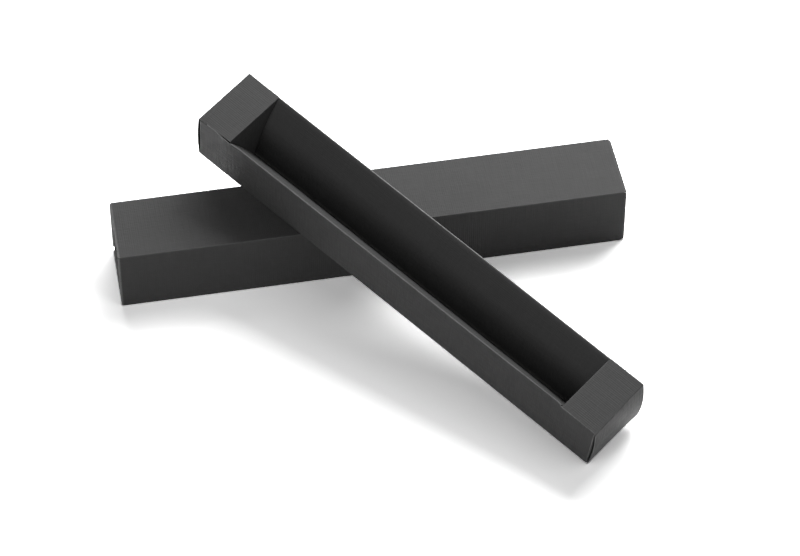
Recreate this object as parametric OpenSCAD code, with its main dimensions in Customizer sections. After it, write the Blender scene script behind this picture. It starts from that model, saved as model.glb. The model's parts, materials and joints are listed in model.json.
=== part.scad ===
// Slim sliding drawer gift box of folded, linen-embossed paperboard.
// An open sleeve lies on its underside, and its drawer, taken out, leans across it.
// Each folded panel of the two blanks is a solid of its own.

/* [Board] */
// Thickness of the paperboard
board = 0.4; // [0.3:0.05:0.5]
// Gap between two panels that meet at a crease
crease_gap = 0.05; // [0.02:0.01:0.1]

/* [Sleeve] */
// Outer length of the sleeve
sleeve_l = 240; // [200:1:300]
// Outer width of the sleeve
sleeve_w = 36.4; // [31:0.1:46]
// Outer height of the sleeve
sleeve_h = 32.5; // [28:0.1:38]
// Length of the hem folded in at each end of a panel
hem_l = 14; // [8:0.5:20]
// Distance from a hem's side edge to the crease beside it
hem_relief = 2; // [2:0.1:4]
// How much each side of a hem is drawn in at its inner end
hem_taper = 1.5; // [0:0.1:3]
// Depth of the small notch where a crease runs out at the mouth
notch_depth = 1.2; // [0.4:0.1:3]
// Half width of that notch, cut from each of the two panels
notch_half_w = 0.9; // [0.2:0.1:1.5]
// Width of the glue flap along the back of the bottom panel
glue_flap_w = 12; // [8:0.5:18]
// Distance from the glue flap's ends to the hems
glue_flap_gap = 1; // [0.5:0.1:3]

/* [Drawer] */
// Play between a drawer wall and the hem beside it
side_play = 0.3; // [0.2:0.05:0.6]
// Play under the drawer and above it, inside the sleeve
height_play = 0.4; // [0.2:0.05:0.8]
// How far each end of the drawer stays inside the sleeve's mouth
end_play = 0.2; // [0:0.1:1]
// Outward bow of the end panels
end_bow = 1.6; // [0.8:0.1:2.5]
// Distance from an end panel to the wall ends and tabs behind it
end_clear = 0.15; // [0.1:0.05:0.4]
// Length of the ledge at each end, from outer to inner edge
ledge_l = 19.2; // [14:0.1:26]
// Gap between a ledge's side and the wall beside it
ledge_side_gap = 0.3; // [0.2:0.05:0.8]
// How much each side of a ledge is drawn in at its inner edge
ledge_taper = 0.4; // [0:0.1:1.5]
// Gap between an inner flap's lower edge and the floor
flap_foot = 0.5; // [0.3:0.1:1.5]
// Gap between an inner flap and the ends of the linings
flap_gap = 0.8; // [0.4:0.1:2]
// Inward bow of the two linings
lining_bow = 1.8; // [0.8:0.1:3]
// Gap between the linings' lower edges at the middle of the floor
lining_meet = 0.6; // [0.4:0.1:2]
// Height of a lining's lower edge above the floor panel
lining_foot = 0.2; // [0.15:0.05:0.6]
// Length of the tabs folded in behind the end panels
tab_l = 13; // [6:0.5:14]
// Gap above and below each tab
tab_gap = 0.5; // [0.3:0.1:1.5]
// Cut at the free corners of each tab
tab_chamfer = 2; // [0.5:0.1:4]

/* [Drawer leaning on the sleeve] */
// Angle between the lengths of the drawer and the sleeve, seen square to the drawer's floor
drawer_turn = 51.8; // [42:0.1:62]
// Where the drawer's front edge crosses the sleeve's edge, from the sleeve's left end
cross_on_sleeve = 85; // [60:1:130]
// The same crossing, from the drawer's left end
cross_on_drawer = 64.8; // [50:0.1:90]
// Gap between the drawer's underside and the edge that it leans on
rest_gap = 0.15; // [0.1:0.05:0.3]

/* [Hidden] */

LEFT = -1;
RIGHT = 1;
arc_fn = 360;
sleeve_colour = "dimgray";
drawer_colour = "darkslategray";
hidden_colour = "black";

// Height of the sleeve's front and back panels, which stand between the bottom and the top
side_panel_h = sleeve_h - 2 * board - 2 * crease_gap;
// Widths of the hems on the bottom and top, and on the front and back
flat_hem_w = sleeve_w - 2 * board - 2 * hem_relief;
side_hem_w = sleeve_h - 2 * board - 2 * hem_relief;

// The drawer's outer size follows the hemmed mouth of the sleeve
drawer_l = sleeve_l - 2 * end_play;
drawer_w = sleeve_w - 4 * board - 2 * side_play;
drawer_h = sleeve_h - 4 * board - 2 * height_play;
wall_inset = board + end_clear;
lining_start = ledge_l + flap_gap;
ledge_edge_v = board + ledge_side_gap;
// The drawer tips until its lower front corner comes down to the level of the sleeve's underside
drawer_tilt = asin(sleeve_h / ((drawer_l - cross_on_drawer) * sin(drawer_turn)));

// A flat sheet from the origin to [l, w], centred on X, with its four corners cut for the notches
module notched_sheet(l, w) {
    d = notch_depth;
    c = notch_half_w;
    linear_extrude(board)
        polygon([
            [d - l / 2, 0], [l / 2 - d, 0], [l / 2, c], [l / 2, w - c],
            [l / 2 - d, w], [d - l / 2, w], [-l / 2, w - c], [-l / 2, c]
        ]);
}

// A sheet that starts on the Y axis with width w and is drawn in by taper on both sides at x = l
module tapered_sheet(l, w, taper) {
    linear_extrude(board)
        polygon([[0, 0], [l, taper], [l, w - taper], [0, w]]);
}

// A curved sheet whose face runs from p0 to p1 and bows to the left of that line
module bowed_sheet(p0, p1, bow, length) {
    chord = norm(p1 - p0);
    radius = (chord * chord / 4 + bow * bow) / (2 * bow);
    half_angle = asin(chord / (2 * radius));
    side = [p0[1] - p1[1], p1[0] - p0[0]] / chord;
    centre = (p0 + p1) / 2 - side * (radius - bow);
    translate(centre)
        rotate(atan2(side[1], side[0]) - half_angle)
            rotate_extrude(angle = 2 * half_angle, $fn = arc_fn)
                translate([radius - board, 0])
                    square([board, length]);
}

// Turns a part drawn for the left end into the one at the given end of the sleeve
module at_sleeve_end(end) {
    if (end == RIGHT) mirror([1, 0, 0]) children();
    else children();
}

// The same for a part of the drawer, in the drawer's own frame
module at_drawer_end(end) {
    if (end == RIGHT) translate([drawer_l, 0, 0]) mirror([1, 0, 0]) children();
    else children();
}

// Swaps the front for the back of the drawer
module at_drawer_side(back) {
    if (back) translate([0, drawer_w, 0]) mirror([0, 1, 0]) children();
    else children();
}

// From the drawer's own frame, with its origin at the lower left front corner, to where it leans
module place_drawer() {
    translate([cross_on_sleeve - sleeve_l / 2, -sleeve_w / 2, sleeve_h + rest_gap])
        rotate([drawer_tilt, 0, 0])
            rotate([0, 0, -drawer_turn])
                translate([-cross_on_drawer, 0, 0])
                    children();
}

module sleeve_bottom_panel() {
    color(sleeve_colour)
        translate([0, -sleeve_w / 2, 0])
            notched_sheet(sleeve_l, sleeve_w);
}

module sleeve_top_panel() {
    color(sleeve_colour)
        translate([0, -sleeve_w / 2, sleeve_h - board])
            notched_sheet(sleeve_l, sleeve_w);
}

module sleeve_front_panel() {
    color(sleeve_colour)
        translate([0, board - sleeve_w / 2, board + crease_gap])
            rotate([90, 0, 0])
                notched_sheet(sleeve_l, side_panel_h);
}

module sleeve_back_panel() {
    color(sleeve_colour)
        translate([0, sleeve_w / 2, board + crease_gap])
            rotate([90, 0, 0])
                notched_sheet(sleeve_l, side_panel_h);
}

module sleeve_glue_flap() {
    flap_l = sleeve_l - 2 * (hem_l + glue_flap_gap);
    color(hidden_colour)
        translate([-flap_l / 2, sleeve_w / 2 - board - crease_gap - glue_flap_w, board])
            cube([flap_l, glue_flap_w, board]);
}

// Hem on the inside of the bottom panel, at height z, or of the top panel
module flat_hem(end, z) {
    color(hidden_colour)
        at_sleeve_end(end)
            translate([-sleeve_l / 2, -flat_hem_w / 2, z])
                tapered_sheet(hem_l, flat_hem_w, hem_taper);
}

// Hem on the inside of the front panel, with its outer face at y, or of the back panel
module side_hem(end, y) {
    color(hidden_colour)
        at_sleeve_end(end)
            translate([-sleeve_l / 2, y, board + hem_relief])
                rotate([90, 0, 0])
                    tapered_sheet(hem_l, side_hem_w, hem_taper);
}

module bottom_hem(end) { flat_hem(end, board); }
module top_hem(end) { flat_hem(end, sleeve_h - 2 * board); }
module front_hem(end) { side_hem(end, 2 * board - sleeve_w / 2); }
module back_hem(end) { side_hem(end, sleeve_w / 2 - board); }

module drawer_floor() {
    color(drawer_colour)
        place_drawer()
            cube([drawer_l, drawer_w, board]);
}

// Long outer wall, which stands on the floor's edge
module drawer_wall(back) {
    color(drawer_colour)
        place_drawer()
            at_drawer_side(back)
                translate([wall_inset, 0, board])
                    cube([drawer_l - 2 * wall_inset, board, drawer_h - board]);
}

// The wall's board rolled over its top edge, which springs in and stands on the middle of the floor
module drawer_lining(back) {
    top_edge = [2 * board, drawer_h];
    low_edge = [(drawer_w - lining_meet) / 2, board + lining_foot];
    color(drawer_colour)
        place_drawer()
            at_drawer_side(back)
                translate([lining_start, 0, 0])
                    rotate([90, 0, 90])
                        bowed_sheet(top_edge, low_edge, lining_bow, drawer_l - 2 * lining_start);
}

// End panel, bowed out between the floor's end crease and the ledge
module drawer_end_panel(end) {
    color(drawer_colour)
        place_drawer()
            at_drawer_end(end)
                translate([0, drawer_w, 0])
                    rotate([90, 0, 0])
                        bowed_sheet([0, board + crease_gap], [0, drawer_h - board - crease_gap],
                            end_bow, drawer_w);
}

// Ledge, level with the wall tops and set between them
module drawer_ledge(end) {
    color(drawer_colour)
        place_drawer()
            at_drawer_end(end)
                translate([0, ledge_edge_v, drawer_h - board])
                    tapered_sheet(ledge_l, drawer_w - 2 * ledge_edge_v, ledge_taper);
}

// Flap that hangs from the ledge's inner edge down to the floor
module drawer_inner_flap(end) {
    edge_v = ledge_edge_v + ledge_taper;
    foot = board + flap_foot;
    color(drawer_colour)
        place_drawer()
            at_drawer_end(end)
                translate([ledge_l - board, edge_v, foot])
                    cube([board, drawer_w - 2 * edge_v, drawer_h - board - crease_gap - foot]);
}

// Tab folded in from a wall's end, behind the end panel
module drawer_tab(end, back) {
    low = board + tab_gap;
    high = drawer_h - board - tab_gap;
    near = board + crease_gap;
    color(hidden_colour)
        place_drawer()
            at_drawer_end(end)
                at_drawer_side(back)
                    translate([wall_inset, 0, 0])
                        rotate([90, 0, 90])
                            linear_extrude(board)
                                polygon([
                                    [near, low], [tab_l - tab_chamfer, low], [tab_l, low + tab_chamfer],
                                    [tab_l, high - tab_chamfer], [tab_l - tab_chamfer, high], [near, high]
                                ]);
}

sleeve_bottom_panel();
sleeve_front_panel();
sleeve_back_panel();
sleeve_top_panel();
sleeve_glue_flap();
bottom_hem(LEFT);  // sleeve_left_bottom_hem
front_hem(LEFT);  // sleeve_left_front_hem
back_hem(LEFT);  // sleeve_left_back_hem
top_hem(LEFT);  // sleeve_left_top_hem
bottom_hem(RIGHT);  // sleeve_right_bottom_hem
front_hem(RIGHT);  // sleeve_right_front_hem
back_hem(RIGHT);  // sleeve_right_back_hem
top_hem(RIGHT);  // sleeve_right_top_hem
drawer_floor();
drawer_wall(false);  // drawer_front_wall
drawer_wall(true);  // drawer_back_wall
drawer_lining(false);  // drawer_front_lining
drawer_lining(true);  // drawer_back_lining
drawer_end_panel(LEFT);  // drawer_left_end_panel
drawer_ledge(LEFT);  // drawer_left_ledge
drawer_inner_flap(LEFT);  // drawer_left_inner_flap
drawer_tab(LEFT, false);  // drawer_left_front_tab
drawer_tab(LEFT, true);  // drawer_left_back_tab
drawer_end_panel(RIGHT);  // drawer_right_end_panel
drawer_ledge(RIGHT);  // drawer_right_ledge
drawer_inner_flap(RIGHT);  // drawer_right_inner_flap
drawer_tab(RIGHT, false);  // drawer_right_front_tab
drawer_tab(RIGHT, true);  // drawer_right_back_tab
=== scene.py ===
# Slim sliding drawer gift box of linen-embossed paperboard: an open sleeve that lies on its
# underside, and its drawer, taken out and leaning across it.
# Each panel of the two folded blanks is one bent sheet of board with its own thickness, and the
# creases are narrow strips of their own.
import json
import math

import bmesh
import bpy
from mathutils import Matrix, Vector, noise


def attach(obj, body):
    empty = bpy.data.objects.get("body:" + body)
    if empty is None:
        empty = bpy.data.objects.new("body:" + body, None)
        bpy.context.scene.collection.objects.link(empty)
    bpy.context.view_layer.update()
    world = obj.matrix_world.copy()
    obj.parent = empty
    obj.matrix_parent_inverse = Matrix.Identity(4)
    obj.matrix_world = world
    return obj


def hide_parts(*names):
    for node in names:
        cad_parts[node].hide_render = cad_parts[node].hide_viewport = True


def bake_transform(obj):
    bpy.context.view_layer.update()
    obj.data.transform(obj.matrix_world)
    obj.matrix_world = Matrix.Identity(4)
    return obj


MM = 0.001

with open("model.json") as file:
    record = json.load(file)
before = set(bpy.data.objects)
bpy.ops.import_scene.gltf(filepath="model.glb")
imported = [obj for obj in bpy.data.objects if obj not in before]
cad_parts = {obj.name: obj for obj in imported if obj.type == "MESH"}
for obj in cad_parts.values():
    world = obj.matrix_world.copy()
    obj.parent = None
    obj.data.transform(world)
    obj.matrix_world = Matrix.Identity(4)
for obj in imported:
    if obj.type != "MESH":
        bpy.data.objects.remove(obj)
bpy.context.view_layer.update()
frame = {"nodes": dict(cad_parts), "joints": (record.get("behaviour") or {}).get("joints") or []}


class Axes:
    """A corner and three unit directions that a part of the box is measured along."""

    def __init__(self, origin, a, b, c):
        self.origin = Vector(origin)
        self.a = Vector(a)
        self.b = Vector(b)
        self.c = Vector(c)

    def at(self, a, b, c):
        """The place that lies so far along each direction."""
        return self.origin + self.a * a + self.b * b + self.c * c

    def box(self, node):
        """Lowest and highest corner of a CAD node, measured along these axes."""
        places = [v.co - self.origin for v in frame["nodes"][node].data.vertices]
        spans = [[p.dot(axis) for p in places] for axis in (self.a, self.b, self.c)]
        return Vector([min(s) for s in spans]), Vector([max(s) for s in spans])


X, Y, Z = Vector((1, 0, 0)), Vector((0, 1, 0)), Vector((0, 0, 1))
joints = {j["name"]: j for j in frame["joints"]}


def drawer_axes():
    """The drawer's own axes: along it, across it and up its walls, from its lower left front corner."""
    left = Vector(joints["left_ledge_hinge"]["pos_m"])
    right = Vector(joints["right_ledge_hinge"]["pos_m"])
    along = (right - left).normalized()
    across = Vector(joints["right_ledge_hinge"]["axis"]).normalized()
    up = along.cross(across).normalized()
    low, _ = Axes(left, along, across, up).box("drawer_floor")
    corner = left + along * low.x + across * low.y + up * low.z
    return Axes(corner, along, across, up)


SLEEVE = Axes((0, 0, 0), X, Y, Z)
DRAWER = drawer_axes()

# Sizes of the two blanks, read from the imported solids
bottom_low, bottom_high = SLEEVE.box("sleeve_bottom_panel")
_, top_high = SLEEVE.box("sleeve_top_panel")
glue_low, glue_high = SLEEVE.box("sleeve_glue_flap")
hem_low, hem_high = SLEEVE.box("sleeve_left_bottom_hem")
BOARD = bottom_high.z - bottom_low.z
SLEEVE_L = bottom_high.x - bottom_low.x
SLEEVE_W = bottom_high.y - bottom_low.y
SLEEVE_H = top_high.z
HEM_L = hem_high.x - hem_low.x

_, floor_high = DRAWER.box("drawer_floor")
wall_low, wall_high = DRAWER.box("drawer_front_wall")
lining_low, lining_high = DRAWER.box("drawer_front_lining")
_, ledge_high = DRAWER.box("drawer_left_ledge")
flap_low, _ = DRAWER.box("drawer_left_inner_flap")
tab_low, tab_high = DRAWER.box("drawer_left_front_tab")
DRAWER_L = floor_high.x
DRAWER_W = floor_high.y
DRAWER_H = wall_high.z

# Board as it is drawn, a little thinner than in the CAD so that layers which lie on each other
# stay clear, and the thin layers that slide on each other at the sleeve's open crease
SKIN = 0.95 * BOARD
OVERLAP_SKIN = 0.12 * MM
# Outer radius of a crease, half the length of a square one, and the radius of the drawer's walls
# where their board turns over at the top
CREASE_R = 0.42 * MM
ARC_HALF = CREASE_R * math.pi / 4
ROLL_R = BOARD

# Pale marks, partly scuffed paper and partly a painted highlight: how far they fade out beside a
# fold and from a cut edge, and how wide and how strong the bruise beside a fold is
FOLD_WEAR_AND_HIGHLIGHT_W = 0.34 * MM
RIM_WEAR_AND_HIGHLIGHT_W = 0.22 * MM
BRUISE_W = 1.2 * MM
BRUISE = 0.04

# Meshes: the longest step, the short ones by an edge, the bend that stays smooth, in degrees,
# and distances that count as none
STEP = 4 * MM
END_STEPS = [0.12 * MM, 0.3 * MM, 0.7 * MM, 1.5 * MM]
SMOOTH_BEND = 35
SAME_PLACE = 1e-7
TINY = 1e-9

# Names of a mesh's coordinates on the unfolded blank and of its two pale marks, which are partly
# scuffing and partly a painted highlight
BLANK_MAP = "blank"
FOLD_MARK = "fold"
RIM_MARK = "rim"
# Each sheet starts this much further on in the linen, so that no two show the same piece of it
BLANK_SHIFT = Vector((37, 53)) * MM


# Outlines of a sheet's cross section


def arc(centre, radius, start, end, steps=8):
    """Points on an arc, with its angles in degrees."""
    points = []
    for i in range(steps + 1):
        angle = math.radians(start + (end - start) * i / steps)
        points.append((centre[0] + radius * math.cos(angle), centre[1] + radius * math.sin(angle)))
    return points


def near_steps(length):
    """The places by an edge that get a point of their own on a stretch of that length."""
    return [0] + [d for d in END_STEPS if d < length / 3]


def straight(start, end):
    """A straight stretch, with short steps by its two ends."""
    start, end = Vector(start), Vector(end)
    length = (end - start).length
    near = near_steps(length)
    inner = length - 2 * near[-1]
    count = max(1, round(inner / STEP))
    stops = near + [near[-1] + inner * i / count for i in range(1, count)]
    stops += [length - d for d in reversed(near)]
    return [tuple(start.lerp(end, s / length)) for s in stops]


def bowed(start, end, bow, steps=18):
    """An arc from start to end whose middle stands bow to the left of the straight line."""
    start, end = Vector(start), Vector(end)
    chord = end - start
    side = Vector((-chord.y, chord.x)).normalized()
    radius = (chord.length_squared / 4 + bow * bow) / (2 * bow)
    centre = (start + end) / 2 - side * (radius - bow)
    half = math.degrees(math.asin(chord.length / (2 * radius)))
    middle = math.degrees(math.atan2(side.y, side.x))
    return arc(centre, radius, middle + half, middle - half, steps)


def joined(*stretches):
    """Stretches of an outline in a row, without the points that two of them share."""
    points = []
    for stretch in stretches:
        for p in stretch:
            if not points or (Vector(p) - Vector(points[-1])).length > SAME_PLACE:
                points.append(p)
    return points


def turned(points, index, radius, steps=8):
    """The outline before, round and after its corner at index, which gets that radius."""
    corner = Vector(points[index])
    back = (Vector(points[index - 1]) - corner).normalized()
    on = (Vector(points[index + 1]) - corner).normalized()
    half = math.acos(max(-1, min(1, back.dot(on)))) / 2
    reach = radius / math.tan(half)
    centre = corner + (back + on).normalized() * (radius / math.sin(half))
    first = corner + back * reach - centre
    last = corner + on * reach - centre
    sweep = first.angle_signed(last)
    rounded = []
    for i in range(steps + 1):
        spot = centre + Matrix.Rotation(-sweep * i / steps, 2) @ first
        rounded.append(tuple(spot))
    before = [p for p in points[:index] if (Vector(p) - corner).length > reach]
    after = [p for p in points[index + 1 :] if (Vector(p) - corner).length > reach]
    return before, rounded, after


def spread(widest, length):
    """Places across a sheet from 0 to its length, as many as on its widest stretch."""
    near = near_steps(widest)
    count = max(1, round((widest - 2 * near[-1]) / STEP))
    inner = length - 2 * near[-1]
    places = near + [near[-1] + inner * i / count for i in range(1, count)]
    return places + [length - d for d in reversed(near)]


def fading(distance, width):
    """1 at no distance, falling off softly on both sides."""
    return math.exp(-((distance / width) ** 2))


def clamped(value):
    """The value, held between 0 and 1."""
    return max(0, min(1, value))


class Sheet:
    """A bent sheet of board: an outline in two axes, drawn out along the third.

    Its side edges low and high may change with the way t along the outline. place turns the
    outline's two axes and the third into a place in the scene, and inside is any spot behind
    the sheet. folds are the ways t of its creases, cut says how pale each of its edges is: the
    outline's start and end and the low and high side. bulge(t, s) is how far it stands out, with
    both as shares. Its folds are made pale by a given amount, partly as scuffed paper and partly as
    a painted highlight, and a band of painted light may be added: where, width, how much.
    """

    made = 0

    def __init__(self, name, outline, low, high, place, inside, folds=(), cut=(1, 1, 1, 1),
                 skin=SKIN, bulge=None, wear_and_highlight=1.0, painted_light=None):
        self.name = name
        self.outline = [Vector(p) for p in outline]
        self.low = low if callable(low) else lambda t: low
        self.high = high if callable(high) else lambda t: high
        self.place = place
        self.inside = Vector(inside)
        self.folds = folds
        self.cut = cut
        self.skin = skin
        self.bulge = bulge or (lambda t, s: 0)
        self.wear_and_highlight = wear_and_highlight
        self.painted_light = painted_light
        Sheet.made += 1
        self.shift = BLANK_SHIFT * Sheet.made

    def lengths(self):
        """How far along the outline each of its points is."""
        run = [0]
        for p, q in zip(self.outline, self.outline[1:]):
            run.append(run[-1] + (q - p).length)
        return run

    def normals(self):
        """The outline's outward direction at each point."""
        steps = [(q - p).normalized() for p, q in zip(self.outline, self.outline[1:])]
        ways = [steps[0]] + [(a + b).normalized() for a, b in zip(steps, steps[1:])] + [steps[-1]]
        turned_left = [Vector((-w.y, w.x)) for w in ways]
        middle = len(ways) // 2
        away = self.outline[middle] - self.inside
        sign = 1 if turned_left[middle].dot(away) > 0 else -1
        return [n * sign for n in turned_left]

    def build(self, materials):
        """The sheet as a mesh object, with its outer face, its back and its cut edges."""
        run = self.lengths()
        total = run[-1]
        widest = max(self.high(t) - self.low(t) for t in run)
        outer, inner, marks = [], [], []
        for p, n, t in zip(self.outline, self.normals(), run):
            low, high = self.low(t), self.high(t)
            for s in spread(widest, high - low):
                raised = p + n * self.bulge(t / total, s / max(high - low, TINY))
                under = raised - n * self.skin
                outer.append(self.place(raised.x, raised.y, low + s))
                inner.append(self.place(under.x, under.y, low + s))
                rims = (t, total - t, s, high - low - s)
                # Pale mark by the cut edges, partly scuffing and partly a painted highlight
                rim = max(c * fading(d, RIM_WEAR_AND_HIGHLIGHT_W) for d, c in zip(rims, self.cut))
                marks.append((low + s, t, self.fold_wear_and_highlight(t), rim))
        return self.mesh(outer, inner, marks, len(run), materials)

    def fold_wear_and_highlight(self, t):
        """How pale the board is there: most on a fold, and a little for a way beside it, partly
        scuffing and partly a painted highlight, with any band of painted light on top.
        """
        sharp = [fading(t - f, FOLD_WEAR_AND_HIGHLIGHT_W) for f in self.folds]
        soft = [BRUISE * fading(t - f, BRUISE_W) for f in self.folds]
        pale_wear_and_highlight = self.wear_and_highlight * max(sharp + soft + [0])
        # A band of painted light, where the sheet has one
        if self.painted_light:
            at, width, amount = self.painted_light
            pale_wear_and_highlight = max(pale_wear_and_highlight, amount * fading(t - at, width))
        return pale_wear_and_highlight

    def mesh(self, outer, inner, marks, rows, materials):
        """Faces outside, on the back and round the rim, with the blank's own coordinates."""
        columns = len(outer) // rows
        size = len(outer)
        faces, kinds = [], []
        for i in range(rows - 1):
            for j in range(columns - 1):
                a = i * columns + j
                quad = (a, a + 1, a + columns + 1, a + columns)
                faces += [quad, tuple(size + v for v in reversed(quad))]
                kinds += [0, 1]
        last = size - columns
        rim = [(j, j + 1) for j in range(columns - 1)]
        rim += [(last + j + 1, last + j) for j in range(columns - 1)]
        rim += [((i + 1) * columns, i * columns) for i in range(rows - 1)]
        rim += [(i * columns + columns - 1, (i + 2) * columns - 1) for i in range(rows - 1)]
        for a, b in rim:
            faces.append((b, a, size + a, size + b))
            kinds.append(2)
        data = bpy.data.meshes.new(self.name)
        data.from_pydata(outer + inner, [], faces)
        data.polygons.foreach_set("material_index", kinds)
        layer = data.uv_layers.new(name=BLANK_MAP)
        for loop in data.loops:
            mark = marks[loop.vertex_index % size]
            layer.data[loop.index].uv = (Vector(mark[:2]) + self.shift) / MM
        for title, column in ((FOLD_MARK, 2), (RIM_MARK, 3)):
            values = [mark[column] for mark in marks] * 2
            data.attributes.new(title, "FLOAT", "POINT").data.foreach_set("value", values)
        for material in materials:
            data.materials.append(material)
        self.smooth(data)
        piece = bpy.data.objects.new(self.name, data)
        bpy.context.scene.collection.objects.link(piece)
        return piece

    def smooth(self, data):
        """Outward faces, smooth over the bends and sharp at the cut edges."""
        bm = bmesh.new()
        bm.from_mesh(data)
        bmesh.ops.recalc_face_normals(bm, faces=bm.faces)
        for face in bm.faces:
            face.smooth = True
        for edge in bm.edges:
            edge.smooth = edge.calc_face_angle(0) < math.radians(SMOOTH_BEND)
        bm.to_mesh(data)
        bm.free()


# Materials


class Nodes:
    """Small helper that adds shader nodes and joins them."""

    def __init__(self, name):
        self.material = bpy.data.materials.new(name)
        self.material.use_nodes = True
        self.tree = self.material.node_tree
        self.shader = self.tree.nodes["Principled BSDF"]

    def add(self, kind, **settings):
        node = self.tree.nodes.new("ShaderNode" + kind)
        for key, value in settings.items():
            setattr(node, key, value)
        return node

    def join(self, source, target):
        self.tree.links.new(source, target)

    def value(self, socket, source):
        """Gives a socket a number, or joins another socket to it."""
        if isinstance(source, (int, float)):
            socket.default_value = source
        else:
            self.join(source, socket)

    def math(self, operation, *values):
        node = self.add("Math", operation=operation)
        for socket, source in zip(node.inputs, values):
            self.value(socket, source)
        return node.outputs[0]

    def mark(self, name):
        """One of the mesh's marks of wear."""
        return self.add("Attribute", attribute_name=name).outputs["Fac"]

    def blank(self):
        """Place on the unfolded blank, in millimetres."""
        return self.add("UVMap", uv_map=BLANK_MAP).outputs["UV"]

    def stretched(self, vector, scale, shift=(0, 0, 0)):
        node = self.add("Mapping")
        node.inputs["Scale"].default_value = (*scale, 1)
        node.inputs["Location"].default_value = shift
        self.join(vector, node.inputs["Vector"])
        return node.outputs["Vector"]

    def noise(self, vector, scale, detail, roughness):
        node = self.add("TexNoise", noise_dimensions="2D")
        node.inputs["Scale"].default_value = scale
        node.inputs["Detail"].default_value = detail
        node.inputs["Roughness"].default_value = roughness
        self.join(vector, node.inputs["Vector"])
        return node.outputs["Fac"]

    def ramp(self, factor, low, high, start=0.0, end=1.0):
        """Carries low to start and high to end."""
        node = self.add("MapRange")
        node.inputs["From Min"].default_value = low
        node.inputs["From Max"].default_value = high
        node.inputs["To Min"].default_value = start
        node.inputs["To Max"].default_value = end
        self.join(factor, node.inputs["Value"])
        return node.outputs["Result"]

    def mix(self, factor, a, b):
        node = self.add("Mix", data_type="RGBA")
        self.value(node.inputs["Factor"], factor)
        for socket, colour in ((node.inputs["A"], a), (node.inputs["B"], b)):
            if isinstance(colour, tuple):
                socket.default_value = (*colour, 1)
            else:
                self.join(colour, socket)
        return node.outputs["Result"]

    def emboss(self, height, depth):
        """Raises the surface by height, which runs from 0 to 1."""
        bump = self.add("Bump")
        bump.inputs["Distance"].default_value = depth
        self.join(height, bump.inputs["Height"])
        self.join(bump.outputs["Normal"], self.shader.inputs["Normal"])

    def weighed(self, *pairs):
        """The sum of sockets, each times its weight."""
        parts = [self.math("MULTIPLY", socket, weight) for socket, weight in pairs]
        total = parts[0]
        for part in parts[1:]:
            total = self.math("ADD", total, part)
        return total


# Tones of the dyed board: its outer face on the sleeve and the drawer, the pale colour that its
# folds and cut edges turn to, which is partly scuffed paper and partly a painted highlight, its
# back and the pulp that shows at a cut edge
SLEEVE_COLOUR = (0.0885, 0.0885, 0.0885)
DRAWER_COLOUR = (0.09, 0.09, 0.09)
WEAR_AND_HIGHLIGHT_COLOUR = (0.38, 0.38, 0.38)
BACK_COLOUR = (0.05, 0.05, 0.05)
CORE_COLOUR = (0.15, 0.15, 0.15)

# The outer face: its gloss, its roughness between the threads and how much smoother they are
BOARD_GLOSS = 0.07
ROUGH = 0.62
THREAD_SHINE = 0.24

# Noises on the blank: how often they turn in a millimetre, their detail and their roughness
THREAD_NOISE = (1.0, 2.0, 0.6)
CLOUD_NOISE = (0.05, 3.0, 0.5)
FIBRE_NOISE = (6.0, 2.0, 0.5)
PATCH_NOISE = (1.0, 4.0, 0.65)
PULP_NOISE = (4.0, 4.0, 0.6)
# The range that most of a noise lies in
NOISE_RANGE = (0.3, 0.7)

# The linen embossing: a noise drawn out both ways into uneven threads, and a regular grid with
# its pitch in millimetres; what a thread and a grid line add to the height, and how deep it is
ALONG_THREAD = 0.08
ACROSS_THREAD = 0.95
WEFT_START = (31, 17, 0)
THREAD_SHARE = 0.3
THREAD_PITCH = 0.95
GRID_SHARE = 0.2
WEAVE_DEPTH = 0.13 * MM
# At scale 1, a wave texture's bands go through this many radians in a millimetre
BAND_RATE = 20
GRID_LINES = {
    "Scale": math.tau / (BAND_RATE * THREAD_PITCH),
    "Distortion": 0.5,
    "Detail": 1.0,
    "Detail Scale": 0.6,
}

# How much the embossing, broad clouds and fine fibres count in the paper's colour, the range of
# their sum and how far it goes to both sides. The embossing's share is painted shade: darker in
# the valleys between the threads, lighter on their tops
HEIGHT_SHADE = 0.36
CLOUD_TONE = 0.24
FIBRE_TONE = 0.08
TONE_RANGE = (0.12, 0.56)
TONE_SPREAD = 0.07

# The pale marks are patchy, and partly scuffing and partly a painted highlight: the stretch and
# range of the patches, how much they add, and how much there is without them on a fold and on a rim
PATCH_STRETCH = (0.35, 1.0)
PATCH_RANGE = (0.3, 0.62)
PATCH_SHARE = 0.4
FOLD_LEAST = 0.6
RIM_LEAST = 0.3

# The back and the cut edge: the stretch of their fibres, how far these go lighter and darker,
# and their roughness and depth
PULP_STRETCH = (1.0, 0.4)
BACK_GRAIN = 0.12
CORE_GRAIN = 0.2
PULP_ROUGH = 0.85
PULP_DEPTH = 0.01 * MM


def shades(colour, part):
    """The colour made darker and lighter by that part of it."""
    return tuple((1 - part) * c for c in colour), tuple((1 + part) * c for c in colour)


def threads(n, blank, stretch, start=(0, 0, 0)):
    """Uneven threads that run one way, 0 to 1."""
    uneven = n.noise(n.stretched(blank, stretch, start), *THREAD_NOISE)
    return n.ramp(uneven, *NOISE_RANGE)


def grid_lines(n, blank, direction):
    """Fine regular lines across one direction, 0 to 1."""
    wave = n.add("TexWave", wave_type="BANDS", bands_direction=direction)
    for title, number in GRID_LINES.items():
        wave.inputs[title].default_value = number
    n.join(blank, wave.inputs["Vector"])
    return wave.outputs["Fac"]


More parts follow.
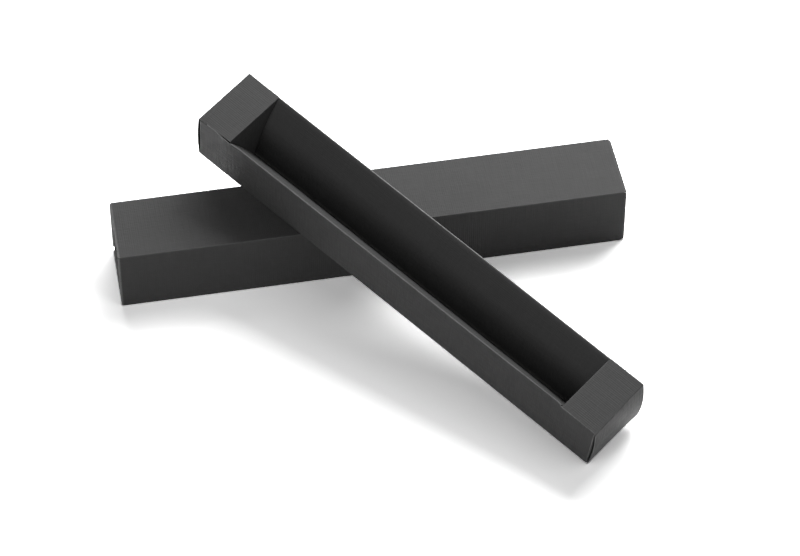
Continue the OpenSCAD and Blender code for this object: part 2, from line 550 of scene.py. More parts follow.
def weave(n, blank):
    """Height of the linen embossing, 0 to 1: uneven threads both ways over a fine regular grid."""
    warp = threads(n, blank, (ALONG_THREAD, ACROSS_THREAD))
    weft = threads(n, blank, (ACROSS_THREAD, ALONG_THREAD), WEFT_START)
    grid = [grid_lines(n, blank, direction) for direction in ("X", "Y")]
    uneven = n.math("ADD", warp, weft)
    regular = n.math("ADD", *grid)
    return n.weighed((uneven, THREAD_SHARE), (regular, GRID_SHARE))


def wear_and_highlight_patches(n, blank):
    """How pale the outer face is, 0 to 1: patches along its folds and its rims, partly scuffing and
    partly a painted highlight.
    """
    uneven = n.noise(n.stretched(blank, PATCH_STRETCH), *PATCH_NOISE)
    patches = n.ramp(uneven, *PATCH_RANGE)
    pale_wear_and_highlight = []
    for mark, least in ((FOLD_MARK, FOLD_LEAST), (RIM_MARK, RIM_LEAST)):
        patchy = n.math("MULTIPLY_ADD", patches, PATCH_SHARE, least)
        pale_wear_and_highlight.append(n.math("MULTIPLY", n.mark(mark), patchy))
    return n.math("MAXIMUM", *pale_wear_and_highlight)


def linen_board(name, colour):
    """Outer face of the board: matte black paper with linen embossing, its valleys darkened as painted
    shade, and pale where it is folded, partly scuffing and partly a painted highlight.
    """
    n = Nodes(name)
    blank = n.blank()
    height = weave(n, blank)
    cloud = n.noise(blank, *CLOUD_NOISE)
    fibre = n.noise(blank, *FIBRE_NOISE)
    # The embossing's height darkens the valleys as painted shade
    tone_and_valley_shade = n.weighed((height, HEIGHT_SHADE), (cloud, CLOUD_TONE), (fibre, FIBRE_TONE))
    paper = n.mix(n.ramp(tone_and_valley_shade, *TONE_RANGE), *shades(colour, TONE_SPREAD))
    # Folds and cut edges go pale: partly scuffed paper, partly a painted highlight
    face = n.mix(wear_and_highlight_patches(n, blank), paper, WEAR_AND_HIGHLIGHT_COLOUR)
    n.join(face, n.shader.inputs["Base Color"])
    n.join(n.math("MULTIPLY_ADD", height, -THREAD_SHINE, ROUGH), n.shader.inputs["Roughness"])
    n.shader.inputs["Specular IOR Level"].default_value = BOARD_GLOSS
    n.emboss(height, WEAVE_DEPTH)
    return n.material


def plain_board(name, colour, grain):
    """The board's back or its cut edge: dyed pulp with a fine fibrous grain."""
    n = Nodes(name)
    fibre = n.noise(n.stretched(n.blank(), PULP_STRETCH), *PULP_NOISE)
    pulp = n.mix(n.ramp(fibre, *NOISE_RANGE), *shades(colour, grain))
    n.join(pulp, n.shader.inputs["Base Color"])
    n.shader.inputs["Roughness"].default_value = PULP_ROUGH
    n.emboss(fibre, PULP_DEPTH)
    return n.material


board_back = plain_board("board_back", BACK_COLOUR, BACK_GRAIN)
board_core = plain_board("board_cut_edge", CORE_COLOUR, CORE_GRAIN)
BOARDS = {
    "sleeve_board": [linen_board("sleeve_linen", SLEEVE_COLOUR), board_back, board_core],
    "drawer_board": [linen_board("drawer_linen", DRAWER_COLOUR), board_back, board_core],
}


def lay(sheet, slot, body, *nodes):
    """Builds a rigid sheet, which rides on one body and may replace nodes of the CAD."""
    piece = sheet.build(BOARDS[slot])
    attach(piece, body)
    if nodes:
        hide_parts(*nodes)


def hinge(sheet, slot, start, end):
    """Builds a crease, fixed where it is drawn and on no body."""
    piece = sheet.build(BOARDS[slot])
    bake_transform(piece)
    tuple(start)
    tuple(end)


# Sleeve: profiles lie in Y and Z and are drawn out along X

HALF_W = SLEEVE_W / 2
CENTRE = (0, SLEEVE_H / 2)
# Which way along the sleeve each end lies
SIGNS = {"left": -1, "right": 1}
# How pale its folds are, and its panels' edges at the mouths, from 0 to 1: partly scuffed paper and
# partly a painted highlight
SLEEVE_WEAR_AND_HIGHLIGHT = 0.17
MOUTH_CUT = 0.3

# Radius of the board's roll at a mouth, the steps it is drawn in, and the room at its mitres
MOUTH_R = 0.8 * MM
ROLL_STEPS = 14
MITRE = 0.05 * MM
# The hem beyond the roll: how far in from the panel's face it lies, how far past half a turn it
# rolls, in degrees, and where it has come down flat; how soon it has its own width after the
# roll, and how much it narrows to its end
HEM_DEPTH = 2 * BOARD
HEM_SLOPE = 7.4
HEM_EASE = 7 * MM
HEM_SETTLE = 1.5 * MM
HEM_TAPER = 1.5 * MM
# Painted light inside each mouth: a pale band on the hem's inner lip, standing in for light that
# comes in at the mouth; how far round the roll it lies, how wide, how much
MOUTH_PAINTED_LIGHT = {"left": (2.8 * MM, 3 * MM, 1.0), "right": (3.2 * MM, 1.4 * MM, 0.3)}

# The left mouth isn't cut quite square: it stands out further at the front
SKEW = 0.5 * MM
SKEW_L = 20 * MM

# Small notches where the sleeve's creases run out at its left and right mouth: how far each
# reaches on to the two panels that meet there, and how deep it is
NOTCHES = {
    "low_front": {"left": (0.5 * MM, 0.5 * MM, 0.8 * MM), "right": (1.5 * MM, 1.2 * MM, 2.2 * MM)},
    "top_front": {"left": (0.4 * MM, 0.4 * MM, 0.8 * MM), "right": (2.0 * MM, 0.2 * MM, 1.2 * MM)},
    "low_back": {"left": (0.3 * MM, 4.9 * MM, 0.8 * MM), "right": (1.0 * MM, 1.0 * MM, 1.2 * MM)},
    "top_back": {"left": (0.6 * MM, 0.6 * MM, 0.8 * MM), "right": (1.4 * MM, 1.4 * MM, 1.0 * MM)},
}
# Part of a notch's reach that stays clear of the hem's roll
NOTCH_OPEN = 0.85
# The two creases beside each panel, and which of the notch's two reaches lies on it
PANEL_CREASES = {
    "bottom": (("low_front", 0), ("low_back", 0)),
    "front": (("low_front", 1), ("top_front", 0)),
    "top": (("top_front", 1), ("top_back", 0)),
    "back": (("low_back", 1), ("top_back", 1)),
}
# Middle of each panel, the ways out of it and across it, and how wide it is
PANEL_FACES = {
    "bottom": (Vector((0, 0, 0)), -Z, Y, SLEEVE_W),
    "front": (Vector((0, -HALF_W, SLEEVE_H / 2)), -Y, Z, SLEEVE_H),
    "top": (Vector((0, 0, SLEEVE_H)), Z, Y, SLEEVE_W),
    "back": (Vector((0, HALF_W, SLEEVE_H / 2)), Y, Z, SLEEVE_H),
}

# How far each panel crowns between its creases, and which row of the noise it follows; how much
# of the crown is even and how much varies, and how often it does along the sleeve
CROWNS = {"bottom": (0, 6), "front": (-0.1 * MM, 5), "top": (0.3 * MM, 3), "back": (-0.1 * MM, 4)}
CROWN_EVEN = 0.75
CROWN_VARIED = 0.5
CROWN_TURNS = 6

# The layer under the open crease: its radius, and the angle it starts at, in degrees
UNDERLAP_R = CREASE_R - 1.2 * OVERLAP_SKIN
UNDERLAP_START = -20


def skewed(place):
    """The place, moved out at the left mouth by as much as it isn't square."""
    near = clamped((-SLEEVE_L / 2 + SKEW_L - place.x) / SKEW_L)
    return place - X * SKEW * near * (0.5 - place.y / SLEEVE_W)


def sleeve_place(y, z, x):
    """A place in the sleeve, from a profile's two axes and the way along."""
    return skewed(Vector((x, y, z)))


def sleeve_body(side):
    """The body that a panel of the sleeve rides on."""
    return "sleeve_base" if side == "bottom" else f"sleeve_{side}"


def cut_back(creases, distances, end):
    """How far in from the sleeve's end a panel's edge lies, at those distances from its creases."""
    lengths = [MOUTH_R]
    for (crease, panel), distance in zip(creases, distances):
        *reaches, depth = NOTCHES[crease][end]
        lengths.append(depth * (1 - distance / reaches[panel]))
    return max(lengths)


def mouth_edge(creases, distances_at, end):
    """Place along the sleeve where a sheet ends, for each way t along its outline."""
    return lambda t: SIGNS[end] * (SLEEVE_L / 2 - cut_back(creases, distances_at(t), end))


def crowned(height, row):
    """A slight, uneven crown of a panel between its creases."""

    def offset(t, s):
        wave = CROWN_EVEN + CROWN_VARIED * noise.noise(Vector((CROWN_TURNS * s, row, 0)))
        return height * wave * math.sin(math.pi * t) * math.sin(math.pi * s) ** 0.5

    return offset


def sleeve_panel(side, start, end, trims):
    """A flat panel between two creases, whose bends take trims off its two edges."""
    creases = PANEL_CREASES[side]
    total = (Vector(end) - Vector(start)).length

    def away(t):
        return t + trims[0], total - t + trims[1]

    cut = (trims[0] == 0, trims[1] == 0, MOUTH_CUT, MOUTH_CUT)
    flat = Sheet(f"sleeve_{side}_board", straight(start, end), mouth_edge(creases, away, "left"),
                 mouth_edge(creases, away, "right"), sleeve_place, CENTRE,
                 folds=[-trims[0], total + trims[1]], cut=cut, bulge=crowned(*CROWNS[side]),
                 wear_and_highlight=SLEEVE_WEAR_AND_HIGHLIGHT)
    lay(flat, "sleeve_board", sleeve_body(side), f"sleeve_{side}_panel")


def make_sleeve_panels():
    """The sleeve's four panels. The back one's foot stands on the glue flap."""
    r = CREASE_R
    both = (ARC_HALF, ARC_HALF)
    sleeve_panel("bottom", (-HALF_W + r, 0), (HALF_W, 0), (ARC_HALF, 0))
    sleeve_panel("front", (-HALF_W, r), (-HALF_W, SLEEVE_H - r), both)
    sleeve_panel("top", (-HALF_W + r, SLEEVE_H), (HALF_W - r, SLEEVE_H), both)
    sleeve_panel("back", (HALF_W, BOARD + r), (HALF_W, SLEEVE_H - r), both)


def sleeve_crease(name, crease, outline, skin=SKIN):
    """The bend along one of the sleeve's four creases."""
    run = sum((Vector(q) - Vector(p)).length for p, q in zip(outline, outline[1:]))
    both = [(crease, 0), (crease, 1)]

    def away(t):
        return max(0, run / 2 - t), max(0, t - run / 2)

    return Sheet(name, outline, mouth_edge(both, away, "left"), mouth_edge(both, away, "right"),
                 sleeve_place, CENTRE, folds=[run / 2], cut=(0, 0, 1, 1), skin=skin,
                 wear_and_highlight=SLEEVE_WEAR_AND_HIGHLIGHT)


def sleeve_hinge(crease, outline):
    """A crease of the sleeve, between two of its panels."""
    bend = sleeve_crease(f"sleeve_{crease}_crease", crease, outline)
    hinge(bend, "sleeve_board", (0, *outline[0]), (0, *outline[-1]))


def make_sleeve_creases():
    """Three creases, and the open one, whose two thin layers slide on each other."""
    r = CREASE_R
    low_front = arc((-HALF_W + r, r), r, 270, 180)
    sleeve_hinge("low_front", low_front)
    top_front = arc((-HALF_W + r, SLEEVE_H - r), r, 180, 90)
    sleeve_hinge("top_front", top_front)
    low_back = arc((HALF_W - r, BOARD + r), r, 270, 360)
    sleeve_hinge("low_back", low_back)
    corner = (HALF_W - r, SLEEVE_H - r)
    over = arc(corner, r, 90, 0)
    lay(sleeve_crease("sleeve_top_back_crease", "top_back", over, OVERLAP_SKIN),
        "sleeve_board", "sleeve_top")
    under = arc(corner, UNDERLAP_R, UNDERLAP_START, 90)
    lay(sleeve_crease("sleeve_top_back_underlap", "top_back", under, OVERLAP_SKIN),
        "sleeve_board", "sleeve_back")


def make_glue_flap():
    """The flap that closes the sleeve, glued on the bottom panel inside the back one."""
    outline = straight((HALF_W - CREASE_R, BOARD), (glue_low.y, BOARD))
    flat = Sheet("sleeve_glue_flap_board", outline, glue_low.x, glue_high.x, sleeve_place, CENTRE,
                 cut=(0, 1, 1, 1))
    lay(flat, "sleeve_board", "sleeve_base", "sleeve_glue_flap")


def make_hem(end, side):
    """The end of a sleeve panel, rolled over at the mouth and folded back inside."""
    middle, out, across, width = PANEL_FACES[side]
    inward = -X * SIGNS[end]
    origin = middle - inward * SLEEVE_L / 2
    low, high = SLEEVE.box(f"sleeve_{end}_{side}_hem")
    flat_half = (high - low).dot(across) / 2
    rooms = [NOTCHES[crease][end][panel] * NOTCH_OPEN for crease, panel in PANEL_CREASES[side]]
    bend = math.pi * MOUTH_R
    settled = bend + HEM_SETTLE

    def half(t, room):
        """The hem's reach to one side: mitred round the roll, then drawn in to the flat hem."""
        depth = MOUTH_R * (1 - math.cos(min(t, bend) / MOUTH_R))
        lip = width / 2 - max(room, depth + MITRE)
        if t < bend:
            return lip
        if t < settled:
            return lip + (flat_half - lip) * (t - bend) / HEM_SETTLE
        return flat_half - HEM_TAPER * (t - settled) / HEM_L

    def place(a, b, c):
        return skewed(origin + inward * a + out * b + across * c)

    centre = (MOUTH_R, -MOUTH_R)
    roll = arc(centre, MOUTH_R, 90, 270 + HEM_SLOPE, ROLL_STEPS)
    eased = straight(roll[-1], (HEM_EASE, -HEM_DEPTH))
    flat = straight((HEM_EASE, -HEM_DEPTH), (HEM_L, -HEM_DEPTH))
    # The hem's inner lip gets its band of painted light
    hem = Sheet(f"sleeve_{end}_{side}_hem_board", joined(roll, eased, flat),
                lambda t: -half(t, rooms[0]), lambda t: half(t, rooms[1]), place, centre,
                folds=[bend / 2], cut=(0, 1, 1, 1), wear_and_highlight=SLEEVE_WEAR_AND_HIGHLIGHT, painted_light=MOUTH_PAINTED_LIGHT[end])
    lay(hem, "sleeve_board", sleeve_body(side), f"sleeve_{end}_{side}_hem")


# Drawer: along it, across it and up its walls

# How pale its folds are at the floor and at the ledges, from 0 to 1: partly scuffed paper and partly
# a painted highlight
LOW_CREASE_WEAR_AND_HIGHLIGHT = 0.17
LEDGE_WEAR_AND_HIGHLIGHT = 0.08
# How pale its cut edges are at the walls' ends, beside the ledges and at the slit: partly scuffed
# paper and partly a painted highlight
WALL_CUT = 0.5
LEDGE_CUT = 0.2
SLIT_CUT = 0.8

# The drawer's middle, which lies behind its outer faces, seen along it and seen across it
SECTION_MIDDLE = (DRAWER_W / 2, DRAWER_H / 2)
PROFILE_MIDDLE = (DRAWER_L / 2, DRAWER_H / 2)

# The drawer's right end isn't square: how far it stands out at its front and back corner, at its
# foot and at its top, and over how much of the drawer's length; the foot's way from its front to
# its back value is a curve of that power
FOOT_OUT = (-0.35 * MM, 0.15 * MM)
FOOT_POWER = 5
TOP_OUT = (1.0 * MM, 0.2 * MM)
UNSQUARE_L = 12 * MM

# How far the front wall leans in at its top, by the place along the drawer, in millimetres
LEANS = [(0, 0), (11, 0), (17, -0.5), (20, -0.45), (24, 0.15), (40, 0.25), (190, 0.95),
         (218, 1.2), (221, 0.35), (240, 0.3)]

# How far the walls' right ends stand out half way up, beside the bowed end panel
WALL_END_BOWS = {"front": 0.8 * MM, "back": 0}

# The front wall's top edge beside the ledges: how far in from each end it comes up beside them,
# the slit where the turned-over stretch begins, the room between a ledge and a wall, and the
# steps that the edge's round is drawn in
LAPS = {"left": 5 * MM, "right": 2 * MM}
SLIT_W = 0.4 * MM
SIDE_CLEAR = 0.02 * MM
RIM_STEPS = 6

# Room between the back lining and the ledges
LEDGE_CLEAR = 0.2 * MM
# Inward bow of each wall's lining, where it starts beside the ledges, how far it is tucked back
# beside them and how pale its fold over the wall's top is, partly scuffed paper and partly a
# painted highlight on the rolled top
LININGS = {
    "front": (0.8 * MM, lining_low.x, 0.5 * MM, 0.5),
    "back": (1.8 * MM, ledge_high.x + LEDGE_CLEAR, 0, 1),
}
# How soon that tuck fades out along the drawer
TUCK_L = 14 * MM
# How far a lining's foot stays above the floor and the steps of its fold; a first guess of the
# angle where the fold goes over into the slope, and how often it is brought closer
FOOT_CLEAR = 0.2 * MM
FOLD_STEPS = 12
FIRST_ANGLE = 40.0
ANGLE_ROUNDS = 4

# Outward bow of each end panel at its front and back edge, and how the gap between each ledge
# and the front wall opens: how wide it is at its inner end, and the power of its curve
END_BOWS = {"left": (0.85 * MM, 1.2 * MM), "right": (1.1 * MM, 1.5 * MM)}
LEDGE_GAPS = {"left": (0.3 * MM, 4), "right": (0.5 * MM, 2)}
# Stretches of the floor and the ledge that the end panel's corners are rounded against, and how
# much longer such a rounding is than the straight line across it
END_STUB = 3 * MM
ROUND_FACTOR = 1.1

TAB_CHAMFER = 2 * MM


def drawer_place(u, v, w):
    """A place in the drawer, with its right end moved out by as much as it isn't square."""
    near = clamped(1 - (DRAWER_L - u) / UNSQUARE_L)
    across = clamped(v / DRAWER_W)
    foot = FOOT_OUT[0] + (FOOT_OUT[1] - FOOT_OUT[0]) * across**FOOT_POWER
    top = TOP_OUT[0] + (TOP_OUT[1] - TOP_OUT[0]) * across
    return DRAWER.at(u + near * (foot + (top - foot) * w / DRAWER_H), v, w)


def lean(u):
    """How far the front wall's top leans in there."""
    for (start, first), (stop, last) in zip(LEANS, LEANS[1:]):
        if u <= stop * MM:
            break
    part = clamped((u / MM - start) / (stop - start))
    return (first + (last - first) * part) * MM


def wall_place(u, v, w):
    """A place in one of the long walls, of which the front one doesn't stand straight."""
    front = max(0, 1 - 2 * v / DRAWER_W)
    return drawer_place(u, v + lean(u) * front * (w / DRAWER_H) ** 2, w)


def drawer_end(end, place=drawer_place):
    """Places a part drawn for the left end at either end: out of the end, across, up."""
    if end == "left":
        return place
    return lambda u, v, w: place(DRAWER_L - u, v, w)


def drawer_side(side, along):
    """The same for a part drawn for the front wall, with along as a place on the drawer's length."""
    if side == "front":
        return lambda v, w, u: along(u, v, w)
    return lambda v, w, u: along(u, DRAWER_W - v, w)


def make_drawer_floor():
    """The drawer's floor, between the bends up into its walls and end panels."""
    low, high = CREASE_R, DRAWER_L - CREASE_R
    width = DRAWER_W - 2 * CREASE_R
    outline = straight((CREASE_R, 0), (DRAWER_W - CREASE_R, 0))
    flat = Sheet("drawer_floor_board", outline, low, high, drawer_side("front", drawer_place),
                 SECTION_MIDDLE, folds=[-ARC_HALF, width + ARC_HALF], cut=(0, 0, 0, 0),
                 wear_and_highlight=LOW_CREASE_WEAR_AND_HIGHLIGHT)
    lay(flat, "drawer_board", "drawer", "drawer_floor")


def make_wall(side):
    """Outer wall, from its crease with the floor up to where the board turns over the top."""
    r = CREASE_R
    corner = arc((r, r), r, 270, 180)
    rise = straight((0, r), (0, DRAWER_H - ROLL_R))
    inset = wall_low.x + r
    top = 2 * ARC_HALF + DRAWER_H - ROLL_R - r

    def right_end(t):
        return DRAWER_L - inset + WALL_END_BOWS[side] * math.sin(math.pi * min(1, t / top))

    wall = Sheet(f"drawer_{side}_wall_board", joined(corner, rise), inset, right_end,
                 drawer_side(side, wall_place), SECTION_MIDDLE, folds=[top + ROLL_R],
                 cut=(0, 0, WALL_CUT, WALL_CUT), wear_and_highlight=LININGS[side][3])
    lay(wall, "drawer_board", "drawer", f"drawer_{side}_wall")


def make_wall_rim(end):
    """The front wall's plain cut top edge beside a ledge, round at its inner end."""
    stop = lining_low.x - SLIT_W
    rise = [(0, DRAWER_H - ROLL_R * (1 - i / RIM_STEPS)) for i in range(RIM_STEPS + 1)]

    def inner(t):
        return stop - ROLL_R * (1 - math.sqrt(max(0, 1 - (t / ROLL_R) ** 2)))

    rim = Sheet(f"drawer_front_wall_{end}_rim", rise, LAPS[end], inner,
                drawer_side("front", drawer_end(end, wall_place)), SECTION_MIDDLE,
                cut=(0, LEDGE_CUT, LEDGE_CUT, SLIT_CUT))
    lay(rim, "drawer_board", "drawer")


def lining_outline(bow):
    """Over the wall's top and down the bowed slope, and how far round the top the fold goes."""
    centre = Vector((ROLL_R, DRAWER_H - ROLL_R))
    foot = Vector((lining_high.y, BOARD + FOOT_CLEAR))
    angle = FIRST_ANGLE
    for _ in range(ANGLE_ROUNDS):
        way = Vector((math.cos(math.radians(angle)), math.sin(math.radians(angle))))
        slope = bowed(centre + way * ROLL_R, foot, bow)
        first = Vector(slope[1]) - Vector(slope[0])
        angle = math.degrees(math.atan2(first.x, -first.y))
    roll = arc(centre, ROLL_R, 180, angle, FOLD_STEPS)
    return joined(roll, slope), math.radians(180 - angle) * ROLL_R


def make_lining(side):
    """The wall's board rolled over its top edge and sprung down to the middle of the floor."""
    bow, first_u, tuck, wear_and_highlight = LININGS[side]
    outline, fold = lining_outline(bow)
    length = DRAWER_L - 2 * first_u
    plain = side == "front"

    def tucked(t, s):
        beside = fading(min(s, 1 - s) * length, TUCK_L)
        return -tuck * beside * math.sin(math.pi * t)

    sheet = Sheet(f"drawer_{side}_lining_board", outline, first_u, DRAWER_L - first_u,
                  drawer_side(side, wall_place), (ROLL_R, DRAWER_H - ROLL_R), folds=[fold / 2],
                  cut=(0, 1, plain, plain), bulge=tucked, wear_and_highlight=wear_and_highlight)
    lay(sheet, "drawer_board", "drawer", f"drawer_{side}_lining")


def end_place(end):
    """Places a profile of one end, from its axes out of the end and up, and the way across."""
    out = drawer_end(end)
    return lambda u, w, v: out(u, v, w)


def end_outline(bow):
    """The bowed end panel between its bends from the floor and to the ledge, as three stretches."""
    rise = bowed((0, 0), (0, DRAWER_H), bow)
    whole = [(END_STUB, 0)] + rise + [(END_STUB, DRAWER_H)]
    _, low_turn, after = turned(whole, 1, CREASE_R)
    rest = [low_turn[-1]] + after
    corner = rest.index(rise[-1])
    panel, top_turn, _ = turned(rest, corner, CREASE_R)
    return low_turn, panel, top_turn


def ledge_front(end):
    """How far in from the front a ledge's edge lies, at a distance from the drawer's end."""
    inside = BOARD + SIDE_CLEAR
    lap = LAPS[end]
    gap, power = LEDGE_GAPS[end]

    def at(u):
        if u < lap:
            return SIDE_CLEAR + BOARD * max(0, u) / lap
        return inside + gap * ((u - lap) / (ledge_high.x - lap)) ** power

    return at


def make_end_panel(end, outline):
    """The end panel, bowed out, and at its front less than at its back."""
    front_bow, back_bow = END_BOWS[end]

    def flatter(t, s):
        return (front_bow - back_bow) * (1 - s) * math.sin(math.pi * t)

    wall = Sheet(f"drawer_{end}_end_board", outline, 0, DRAWER_W, end_place(end), PROFILE_MIDDLE,
                 folds=[ARC_HALF], cut=(0, 0, 1, 1), bulge=flatter, wear_and_highlight=LEDGE_WEAR_AND_HIGHLIGHT)
    lay(wall, "drawer_board", "drawer", f"drawer_{end}_end_panel")


def make_ledge(end, turn):
    """The ledge, and the bend along the turn from the end panel's top on to it."""
    place = end_place(end)
    front = ledge_front(end)
    back = DRAWER_W - SIDE_CLEAR
    first, last = turn[0], turn[-1]
    run = (Vector(first) - Vector(last)).length * ROUND_FACTOR
    start = last[0]
    crease = Sheet(f"drawer_{end}_ledge_crease", turn, lambda t: front(start * t / run), back,
                   place, PROFILE_MIDDLE, folds=[run / 2], cut=(0, 0, LEDGE_CUT, 1), wear_and_highlight=LEDGE_WEAR_AND_HIGHLIGHT)
    hinge(crease, "drawer_board", place(*first, 0), place(*last, 0))

    stop = ledge_high.x - CREASE_R
    outline = straight((start, DRAWER_H), (stop, DRAWER_H))
    ledge = Sheet(f"drawer_{end}_ledge_board", outline, lambda t: front(start + t), back, place,
                  PROFILE_MIDDLE, folds=[-run / 2, stop - start + ARC_HALF], cut=(0, 0, LEDGE_CUT, 1),
                  wear_and_highlight=LEDGE_WEAR_AND_HIGHLIGHT)
    lay(ledge, "drawer_board", f"{end}_ledge", f"drawer_{end}_ledge")


def make_inner_flap(end):
    """The flap that hangs from the ledge's inner edge, narrower at its foot, and its bend."""
    place = end_place(end)
    stop, height = ledge_high.x - CREASE_R, DRAWER_H - CREASE_R
    low, high = ledge_front(end)(stop), DRAWER_W - BOARD - 2 * SIDE_CLEAR
    turn = arc((stop, height), CREASE_R, 90, 0)
    fold = Sheet(f"drawer_{end}_flap_crease", turn, low, high, place, (stop, height),
                 folds=[ARC_HALF], cut=(0, 0, 1, 1), wear_and_highlight=LEDGE_WEAR_AND_HIGHLIGHT)
    hinge(fold, "drawer_board", place(*turn[0], 0),
          place(*turn[-1], 0))

    length = height - flap_low.z
    foot_low, foot_high = flap_low.y, DRAWER_W - flap_low.y
    hang = straight((ledge_high.x, height), (ledge_high.x, flap_low.z))
    flap = Sheet(f"drawer_{end}_inner_flap_board", hang,
                 lambda t: low + (foot_low - low) * t / length,
                 lambda t: high + (foot_high - high) * t / length, place,
                 (0, DRAWER_H / 2), folds=[-ARC_HALF], cut=(0, 1, 1, 0), wear_and_highlight=LEDGE_WEAR_AND_HIGHLIGHT)
    lay(flap, "drawer_board", f"{end}_flap", f"drawer_{end}_inner_flap")


def make_end(end):
    """One end of the drawer: its panel, the ledge at the panel's top and the flap inside it."""
    _, back_bow = END_BOWS[end]
    low_turn, panel, top_turn = end_outline(back_bow)
    make_end_panel(end, joined(low_turn, panel, top_turn[:1]))
    make_ledge(end, top_turn)
    make_inner_flap(end)


def make_tab(end, side):
    """Tab folded in from the end of a wall, behind the end panel."""
    out = drawer_end(end)
    r = CREASE_R
    front = wall_low.x
    corner = arc((r, front + r), r, 180, 270)
    run = straight((r, front), (tab_high.y, front))
    straight_end = 2 * ARC_HALF + tab_high.y - r

    def trim(t):
        return max(0, t - straight_end + TAB_CHAMFER)

    def place(v, u, w):
        return out(u, v if side == "front" else DRAWER_W - v, w)

    tab = Sheet(f"drawer_{end}_{side}_tab_board", joined(corner, run),
                lambda t: tab_low.z + trim(t), lambda t: tab_high.z - trim(t), place,
                (DRAWER_W / 2, DRAWER_L / 2), folds=[ARC_HALF], cut=(0, 1, 1, 1))
    lay(tab, "drawer_board", "drawer", f"drawer_{end}_{side}_tab")


# Camera, floor and light

# The photograph's view, fitted to the outlines of the two pieces: the way it looks, in degrees
# to the right, down and round, what it looks at and from how far, and its lens and the width of
# its sensor in millimetres
YAW = 10.318
PITCH = 46.879
ROLL = 0.029
TARGET = Vector((10.74, -23.58, 0)) * MM
DISTANCE = 1661.7 * MM
LENS = 158.73
SENSOR_W = 36
# Nearest and farthest distance that it shows
CLIP = (0.05, 20)

# The floor lies a little under the box. Light bounces off it as off a pale grey one, while the
# camera sees a brighter white with a faint glow of its own
FLOOR_DROP = 0.05 * MM
FLOOR_SIZE = 8.0
FLOOR_PALE = 0.45
FLOOR_WHITE = 2.3
FLOOR_GLOW = 0.07
# Beyond the lamps' reach that glow takes over, from the first to the second distance
FAR_FLOOR = (0.5, 1.5)

# A ring of softboxes: azimuth from the front to the right, elevation, distance, width and power,
# and the spot that they face
SOFTBOXES = {
    "back_right": (135, 50, 0.8, 0.5, 5.2),
    "low_back": (180, 25, 1.3, 0.8, 4.79),
    "back": (180, 50, 0.8, 0.4, 1.25),
    "low_front_left": (315, 25, 1.3, 0.5, 2.85),
    "front_left": (315, 50, 0.8, 0.4, 0.48),
    "low_front_right": (45, 25, 1.3, 0.5, 0.4),
    "front_right": (45, 50, 0.8, 0.4, 0.72),
}
AIM = Vector((0.01, -0.02, 0.02))


def make_camera():
    """The camera of the photograph's view."""
    yaw, pitch, roll = math.radians(YAW), math.radians(PITCH), math.radians(ROLL)
    level = math.cos(pitch)
    ahead = Vector((math.sin(yaw) * level, math.cos(yaw) * level, -math.sin(pitch)))
    right = Vector((math.cos(yaw), -math.sin(yaw), 0))
    up = right.cross(ahead)
    tilted_right = right * math.cos(roll) + up * math.sin(roll)
    tilted_up = up * math.cos(roll) - right * math.sin(roll)
    data = bpy.data.cameras.new("camera")
    data.sensor_width = SENSOR_W
    data.lens = LENS
    data.clip_start, data.clip_end = CLIP
    camera = bpy.data.objects.new("camera", data)
    turn = Matrix((tilted_right, tilted_up, -ahead)).transposed()
    camera.matrix_world = Matrix.Translation(TARGET - ahead * DISTANCE) @ turn.to_4x4()
    bpy.context.scene.collection.objects.link(camera)
    bpy.context.scene.camera = camera


def floor_seen(n):
    """What the camera and mirrored rays see of the floor: bright white, and far away a glow."""
    white = n.add("BsdfDiffuse")
    white.inputs["Color"].default_value = (FLOOR_WHITE, FLOOR_WHITE, FLOOR_WHITE, 1)
    away = n.add("VectorMath", operation="LENGTH")
    n.join(n.add("NewGeometry").outputs["Position"], away.inputs[0])
    glow = n.add("Emission")
    n.join(n.ramp(away.outputs["Value"], *FAR_FLOOR, start=FLOOR_GLOW), glow.inputs["Strength"])
    seen = n.add("AddShader")
    n.join(white.outputs["BSDF"], seen.inputs[0])
    n.join(glow.outputs["Emission"], seen.inputs[1])
    return seen.outputs["Shader"]


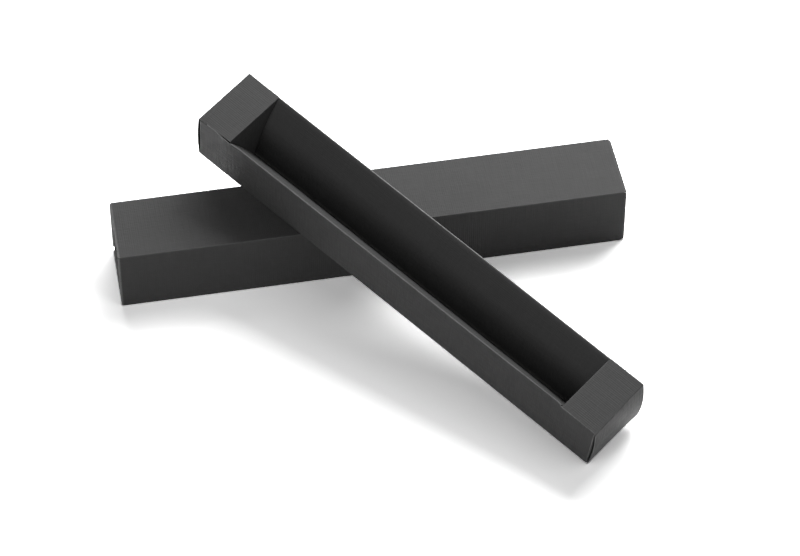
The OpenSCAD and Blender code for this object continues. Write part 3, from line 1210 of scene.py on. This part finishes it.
def floor_white():
    """The floor's material: a pale floor that comes out white where it is looked at."""
    n = Nodes("floor_white")
    n.shader.inputs["Base Color"].default_value = (FLOOR_PALE, FLOOR_PALE, FLOOR_PALE, 1)
    n.shader.inputs["Roughness"].default_value = 1.0
    n.shader.inputs["Specular IOR Level"].default_value = 0.0
    path = n.add("LightPath")
    mirrored = n.math("MAXIMUM", path.outputs["Is Glossy Ray"], path.outputs["Is Transmission Ray"])
    looked_at = n.math("MAXIMUM", path.outputs["Is Camera Ray"], mirrored)
    whose = n.add("MixShader")
    n.join(looked_at, whose.inputs["Fac"])
    n.join(n.shader.outputs["BSDF"], whose.inputs[1])
    n.join(floor_seen(n), whose.inputs[2])
    n.join(whose.outputs["Shader"], n.tree.nodes["Material Output"].inputs["Surface"])
    return n.material


def make_floor():
    """A square floor under the box."""
    data = bpy.data.meshes.new("floor")
    half = FLOOR_SIZE / 2
    corners = [(-half, -half), (half, -half), (half, half), (-half, half)]
    data.from_pydata([(x, y, -FLOOR_DROP) for x, y in corners], [], [(0, 1, 2, 3)])
    floor = bpy.data.objects.new("floor", data)
    bpy.context.scene.collection.objects.link(floor)
    data.materials.append(floor_white())


def softbox(name, azimuth, elevation, distance, width, power):
    """A square lamp that faces the box."""
    a, e = math.radians(azimuth), math.radians(elevation)
    way = Vector((math.sin(a) * math.cos(e), -math.cos(a) * math.cos(e), math.sin(e)))
    data = bpy.data.lights.new(name, "AREA")
    data.shape = "RECTANGLE"
    data.size = width
    data.size_y = width
    data.energy = power
    lamp = bpy.data.objects.new(name, data)
    lamp.location = AIM + way * distance
    lamp.rotation_mode = "QUATERNION"
    lamp.rotation_quaternion = way.to_track_quat("Z", "Y")
    bpy.context.scene.collection.objects.link(lamp)


def make_light():
    """The softboxes, and surroundings that are white for the camera alone."""
    for name, values in SOFTBOXES.items():
        softbox(name, *values)
    world = bpy.data.worlds.new("studio")
    world.use_nodes = True
    tree = world.node_tree
    path = tree.nodes.new("ShaderNodeLightPath")
    background = tree.nodes["Background"]
    background.inputs["Color"].default_value = (1, 1, 1, 1)
    tree.links.new(path.outputs["Is Camera Ray"], background.inputs["Strength"])
    bpy.context.scene.world = world
    bpy.context.scene.view_settings.view_transform = "Standard"


make_camera()
make_floor()
make_light()

make_sleeve_panels()
make_sleeve_creases()
make_glue_flap()
for end in ("left", "right"):
    for side in ("bottom", "front", "back", "top"):
        make_hem(end, side)

make_drawer_floor()
for side in ("front", "back"):
    make_wall(side)
    make_lining(side)
for end in ("left", "right"):
    make_wall_rim(end)
    make_end(end)
    for side in ("front", "back"):
        make_tab(end, side)
